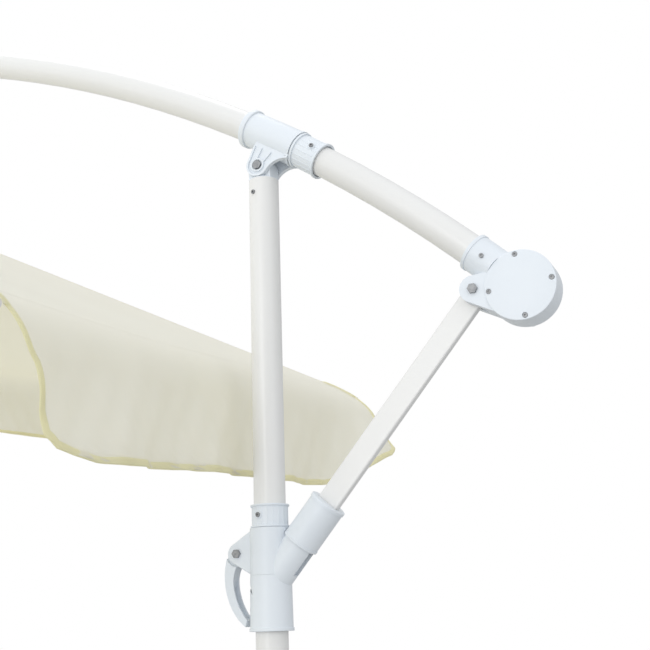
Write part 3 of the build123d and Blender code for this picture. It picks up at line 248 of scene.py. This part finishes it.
BINDING = cloth("yellow_binding", (0.96, 0.94, 0.74), (0.94, 0.92, 0.70), (1.0, 0.97, 0.72), 0.5)

slots = {s["node"]: s["material_slot"] for s in frame["record"]["subparts"]}
for name, obj in nodes.items():
    obj.data.materials.clear()
    obj.data.materials.append(LOOKS[slots[name]])

# ---------------------------------------------------------------- cloth
SIDE_CUT = ((0.0, 0.000), (0.04, 0.012), (0.2, 0.034), (0.5, 0.056), (0.8, 0.066), (0.92, 0.080), (1.0, 0.118))
NEAR_CUT = ((0.0, 0.000), (0.04, 0.010), (0.2, 0.030), (0.4, 0.054), (0.7, 0.060), (0.85, 0.068), (0.94, 0.090), (1.0, 0.145))
FAR_CUT = ((0.0, 0.000), (0.05, 0.006), (0.5, 0.010), (0.8, 0.012), (0.93, 0.016), (1.0, 0.034))
MAST_PANEL = 7


def table_value(table, x):
    return float(np.interp(x, [p[0] for p in table], [p[1] for p in table]))


def side_cut(panel, end, v):
    """How far the flap's side edge stands from the rib's line, end 0 at its first rib and 1 at its second."""
    if panel == MAST_PANEL:
        return table_value(NEAR_CUT if end == 0 else FAR_CUT, v)
    return table_value(SIDE_CUT, v)


def roof(panel, u, s):
    """Point of a roof panel: u from one rib to the next, s from the axis to the rim."""
    a = local(RIM * s, rib_angle(panel), TOP - RISE * s)
    b = local(RIM * s, rib_angle(panel + 1), TOP - RISE * s)
    hollow = 4 * u * (1 - u)
    sag = 0.016 * math.sin(math.pi * min(s, 1.0)) + 0.006 * s
    ripple = 0.0022 * math.sin(9.0 * u + 2.1 * panel) * math.sin(5.0 * s + panel) * s
    return a + (b - a) * u - AXIS_Z * (sag * hollow + ripple * hollow)


def flap_shift(panel, u, v):
    """How far the hanging flap stands out from straight down."""
    seed = 1.7 * panel
    wave = 0.0050 * math.sin(2 * math.pi * (4.3 * u + 0.6 * v) + seed)
    wave += 0.0032 * math.sin(2 * math.pi * (9.1 * u - 1.1 * v) + 2.3 * seed)
    wave += 0.0016 * math.sin(2 * math.pi * (17.0 * u + 2.0 * v) + 0.7 * seed)
    lift = 0.012 * v * v
    if panel == MAST_PANEL:
        lift += 0.070 * v * math.exp(-(((1 - u) / 0.10) ** 2))
        lift += 0.020 * v * math.exp(-(((u - 0.16) / 0.16) ** 2))
    return (wave * (0.25 + v) + lift) * min(1.0, v * 4 + 0.0)


def flap(panel, u, v):
    """Point of a hanging flap: v from the rim to the hem."""
    middle = outward(rib_angle(panel) + math.pi / RIBS)
    flat = np.array([middle[0], middle[1], 0.0])
    flat /= np.linalg.norm(flat)
    wavy = 0.004 * math.sin(2 * math.pi * 1.5 * u + panel) * v
    if panel == MAST_PANEL:
        wavy -= 0.058 * v * math.exp(-(((1 - u) / 0.11) ** 2))
    return roof(panel, u, 1.0) + DOWN * (DROP * v + wavy) + flat * flap_shift(panel, u, v)


ROUND_ROOF, ROUND_FLAP = 0.045, 0.30


def surface(panel, u, q):
    """The whole sheet: q from 0 at the crown to 1 at the rim and 2 at the hem, with a soft turn at the rim."""
    if q <= 1 - ROUND_ROOF:
        return roof(panel, u, q)
    if q >= 1 + ROUND_FLAP:
        return flap(panel, u, q - 1)
    w = (q - (1 - ROUND_ROOF)) / (ROUND_ROOF + ROUND_FLAP)
    a, b, c = roof(panel, u, 1 - ROUND_ROOF), roof(panel, u, 1.0), flap(panel, u, ROUND_FLAP)
    return a * (1 - w) ** 2 + b * 2 * w * (1 - w) + c * w * w


def flap_u(panel, u, v):
    """Narrows the flap between its two cut side edges."""
    near, far = side_cut(panel, 0, v) / EDGE, side_cut(panel, 1, v) / EDGE
    return near + (1 - near - far) * u


def sheet_point(panel, u, q):
    return surface(panel, flap_u(panel, u, q - 1) if q > 1 else u, q)


def sheet_normal(panel, u, q):
    e = 1e-3
    du = surface(panel, u + e, q) - surface(panel, u - e, q)
    dq = surface(panel, u, min(q + e, 2)) - surface(panel, u, q - e)
    n = np.cross(dq, du)
    return n / max(np.linalg.norm(n), 1e-12)


ROWS = (
    list(np.linspace(HOLE / RIM, 0.90, 30))
    + list(np.linspace(0.915, 1.0, 8))
    + list(1 + np.linspace(0.02, 0.30, 8))
    + list(1 + np.linspace(0.34, 1.0, 20))
)
HALF = 26


def add_mesh(name, points, faces, material, uvs=None, normals=None):
    mesh = bpy.data.meshes.new(name)
    mesh.from_pydata([tuple(map(float, p)) for p in points], [], faces)
    mesh.materials.append(material)
    for p in mesh.polygons:
        p.use_smooth = True
    if uvs is not None:
        layer = mesh.uv_layers.new(name="cloth")
        for loop in mesh.loops:
            layer.data[loop.index].uv = uvs[loop.vertex_index]
    if normals is not None:
        mesh.normals_split_custom_set_from_vertices([tuple(map(float, n)) for n in normals])
    obj = bpy.data.objects.new(name, mesh)
    scene.collection.objects.link(obj)
    return obj


def make_gore(index):
    """The two half panels beside one rib, each with its half flap."""
    points, uvs, normals, faces, found = [], [], [], [], {}

    def vertex(panel, u, q):
        p = sheet_point(panel, u, q)
        key = tuple(np.round(p, 5))
        if key not in found:
            found[key] = len(points)
            points.append(p)
            real = flap_u(panel, u, q - 1) if q > 1 else u
            if (u in (0.0, 1.0)) and q <= 1:
                n = sheet_normal(index, 0.0, q) + sheet_normal((index - 1) % RIBS, 1.0, q)
                n = n / np.linalg.norm(n)
            else:
                n = sheet_normal(panel, real, q)
            normals.append(n)
            uvs.append(((u if panel == index else u - 1) * EDGE, q * RIM if q < 1 else RIM + (q - 1) * DROP))
        return found[key]

    for panel, low, high in (((index - 1) % RIBS, 0.5, 1.0), (index, 0.0, 0.5)):
        line = [low + (high - low) * k / HALF for k in range(HALF + 1)]
        grid = [[vertex(panel, u, q) for u in line] for q in ROWS]
        for r in range(len(ROWS) - 1):
            for c in range(HALF):
                quad = [grid[r][c], grid[r + 1][c], grid[r + 1][c + 1], grid[r][c + 1]]
                if len(set(quad)) == 4:
                    faces.append(quad)
    return add_mesh(f"canopy_gore_{index + 1}", points, faces, LOOKS["canopy_fabric"], uvs, normals)


def ribbon(name, line, normals, tangents, wide, thick, material):
    """Flat folded band along an edge: one closed tube with a rounded flat section."""
    ring = 10
    points, faces, uvs = [], [], []
    length = 0.0
    for k, p in enumerate(line):
        if k:
            length += float(np.linalg.norm(line[k] - line[k - 1]))
        for m in range(ring):
            a = 2 * math.pi * m / ring
            x = math.copysign(abs(math.cos(a)) ** 0.45, math.cos(a)) * wide / 2
            y = math.copysign(abs(math.sin(a)) ** 0.7, math.sin(a)) * thick / 2
            points.append(p + tangents[k] * (x - wide / 2 + 0.0012) + normals[k] * y)
            uvs.append((m * 0.002, length))
    for k in range(len(line) - 1):
        for m in range(ring):
            faces.append([k * ring + m, k * ring + (m + 1) % ring, (k + 1) * ring + (m + 1) % ring, (k + 1) * ring + m])
    faces.append(list(range(ring))[::-1])
    faces.append([(len(line) - 1) * ring + m for m in range(ring)])
    return add_mesh(name, points, faces, material, uvs)


def edge_line(panel, end):
    """Half of one flap's free edge: down its side cut at that end and along the hem to the middle."""
    side = [(0.0 if end == 0 else 1.0, 1 + v) for v in np.linspace(0.05, 1.0, 26)]
    hem = [(x if end == 0 else 1 - x, 2.0) for x in np.linspace(0.0, 0.5, 44)[1:]]
    line, normals = [], []
    for u, q in side + hem:
        line.append(sheet_point(panel, u, q))
        normals.append(sheet_normal(panel, flap_u(panel, u, q - 1), q))
    tangents = []
    for k in range(len(line)):
        run = line[min(k + 2, len(line) - 1)] - line[max(k - 2, 0)]
        out = np.cross(run, normals[k])
        out /= np.linalg.norm(out)
        inside = sheet_point(panel, 0.5, 1.5) - line[k]
        if out.dot(inside) > 0:
            out = -out
        tangents.append(out)
    return line, normals, tangents


def make_binding(index):
    made = []
    for panel, end, tag in (((index - 1) % RIBS, 1, "a"), (index, 0, "b")):
        line, normals, tangents = edge_line(panel, end)
        made.append(ribbon(f"hem_binding_{index + 1}{tag}", line, normals, tangents, 0.0105, 0.0026, BINDING))
    return made


def make_pocket(index):
    """Yellow pocket sewn over the rib's tip, folded over the rim."""
    rows, cols = 10, 8
    points, faces, uvs = [], [], []
    for r in range(rows + 1):
        q = 0.945 + 0.175 * r / rows
        for c in range(cols + 1):
            w = -1 + 2 * c / cols
            half = 0.022 + 0.006 * r / rows
            panel, u = (index, w * half / EDGE) if w >= 0 else ((index - 1) % RIBS, 1 + w * half / EDGE)
            p = surface(panel, u, q)
            n = sheet_normal(index, 0.0, min(q, 1.0)) + sheet_normal((index - 1) % RIBS, 1.0, min(q, 1.0))
            n = n / np.linalg.norm(n)
            if n.dot(AXIS_Z) < 0 and q < 1:
                n = -n
            points.append(p + n * 0.0022 * (1 - 0.35 * w * w))
            uvs.append((w * half, q * RIM))
    for r in range(rows):
        for c in range(cols):
            a = r * (cols + 1) + c
            faces.append([a, a + cols + 1, a + cols + 2, a + 1])
    return add_mesh(f"rib_pocket_{index + 1}", points, faces, BINDING, uvs)


for i in range(RIBS):
    gore = make_gore(i)
    trim = make_binding(i) + [make_pocket(i)]
    for piece in [gore] + trim:
        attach(piece, f"rib_{i + 1}")
        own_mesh(piece)
    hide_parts(f"gore_{i + 1}")

# ---------------------------------------------------------------- camera
AZ, PITCH, TWIST = math.radians(22.902), math.radians(15.066), math.radians(-1.879)
look = Vector((-math.sin(AZ) * math.cos(PITCH), math.cos(AZ) * math.cos(PITCH), math.sin(PITCH)))
level = Vector((math.cos(AZ), math.sin(AZ), 0))
rise = level.cross(look)
right = level * math.cos(TWIST) + rise * math.sin(TWIST)
up = rise * math.cos(TWIST) - level * math.sin(TWIST)
cam = bpy.data.objects.new("camera", bpy.data.cameras.new("camera"))
scene.collection.objects.link(cam)
scene.camera = cam
cam.data.sensor_width, cam.data.lens = 36.0, 36.0 * 1100 / 650
cam.data.clip_start, cam.data.clip_end = 0.05, 60
turn = Matrix((right, up, -look)).transposed()
cam.matrix_world = Matrix.Translation((0.7326, -1.4983, 1.3267)) @ turn.to_4x4()

# ---------------------------------------------------------------- floor and light
bpy.ops.mesh.primitive_plane_add(size=9, location=(0, 0, -0.001))
floor = bpy.context.object
floor.name = "floor"
m, t, b = new_material("studio_floor")
t.links.new(ramp(t, noise(t, 1.5), [(0.3, (0.52, 0.52, 0.515)), (0.7, (0.55, 0.55, 0.545))]), b.inputs["Base Color"])
b.inputs["Roughness"].default_value = 0.7
floor.data.materials.append(m)


def area(name, place, aim, size, power, colour=(1, 1, 1)):
    lamp = bpy.data.lights.new(name, "AREA")
    lamp.shape, lamp.size, lamp.energy, lamp.color = "DISK", size, power, colour
    o = bpy.data.objects.new(name, lamp)
    scene.collection.objects.link(o)
    o.location = place
    o.rotation_mode = "QUATERNION"
    o.rotation_quaternion = (Vector(aim) - Vector(place)).to_track_quat("-Z", "Y")
    return o


area("key", (-0.9, -5.2, 2.3), (-0.1, 0, 1.8), 2.6, 40, (1.0, 0.995, 0.99))
area("top", (-1.6, 1.0, 6.0), (-0.9, 0, 1.8), 3.0, 40, (1.0, 0.985, 0.96))
area("side", (3.4, -1.5, 2.6), (0.1, 0, 1.7), 1.8, 4, (0.93, 0.97, 1.0))

world = bpy.data.worlds.new("studio")
scene.world = world
world.use_nodes = True
wt = world.node_tree
wt.nodes.clear()
seen, soft = wt.nodes.new("ShaderNodeBackground"), wt.nodes.new("ShaderNodeBackground")
seen.inputs["Color"].default_value, seen.inputs["Strength"].default_value = (1, 1, 1, 1), 1.0
soft.inputs["Color"].default_value, soft.inputs["Strength"].default_value = (0.97, 0.985, 1, 1), 0.8
sky, facing, level_out = (
    wt.nodes.new("ShaderNodeTexCoord"), wt.nodes.new("ShaderNodeVectorMath"), wt.nodes.new("ShaderNodeMapRange"),
)
facing.operation = "DOT_PRODUCT"
facing.inputs[1].default_value = (-0.42, -0.80, 0.42)
level_out.inputs["From Min"].default_value, level_out.inputs["From Max"].default_value = -1.0, 1.0
level_out.inputs["To Min"].default_value, level_out.inputs["To Max"].default_value = 0.50, 1.19
wt.links.new(sky.outputs["Generated"], facing.inputs[0])
wt.links.new(facing.outputs["Value"], level_out.inputs["Value"])
wt.links.new(level_out.outputs["Result"], soft.inputs["Strength"])
path, both, out = (
    wt.nodes.new("ShaderNodeLightPath"), wt.nodes.new("ShaderNodeMixShader"), wt.nodes.new("ShaderNodeOutputWorld"),
)
wt.links.new(path.outputs["Is Camera Ray"], both.inputs["Fac"])
wt.links.new(soft.outputs["Background"], both.inputs[1])
wt.links.new(seen.outputs["Background"], both.inputs[2])
wt.links.new(both.outputs["Shader"], out.inputs["Surface"])
scene.view_settings.view_transform = "Standard"
scene.view_settings.look = "None"
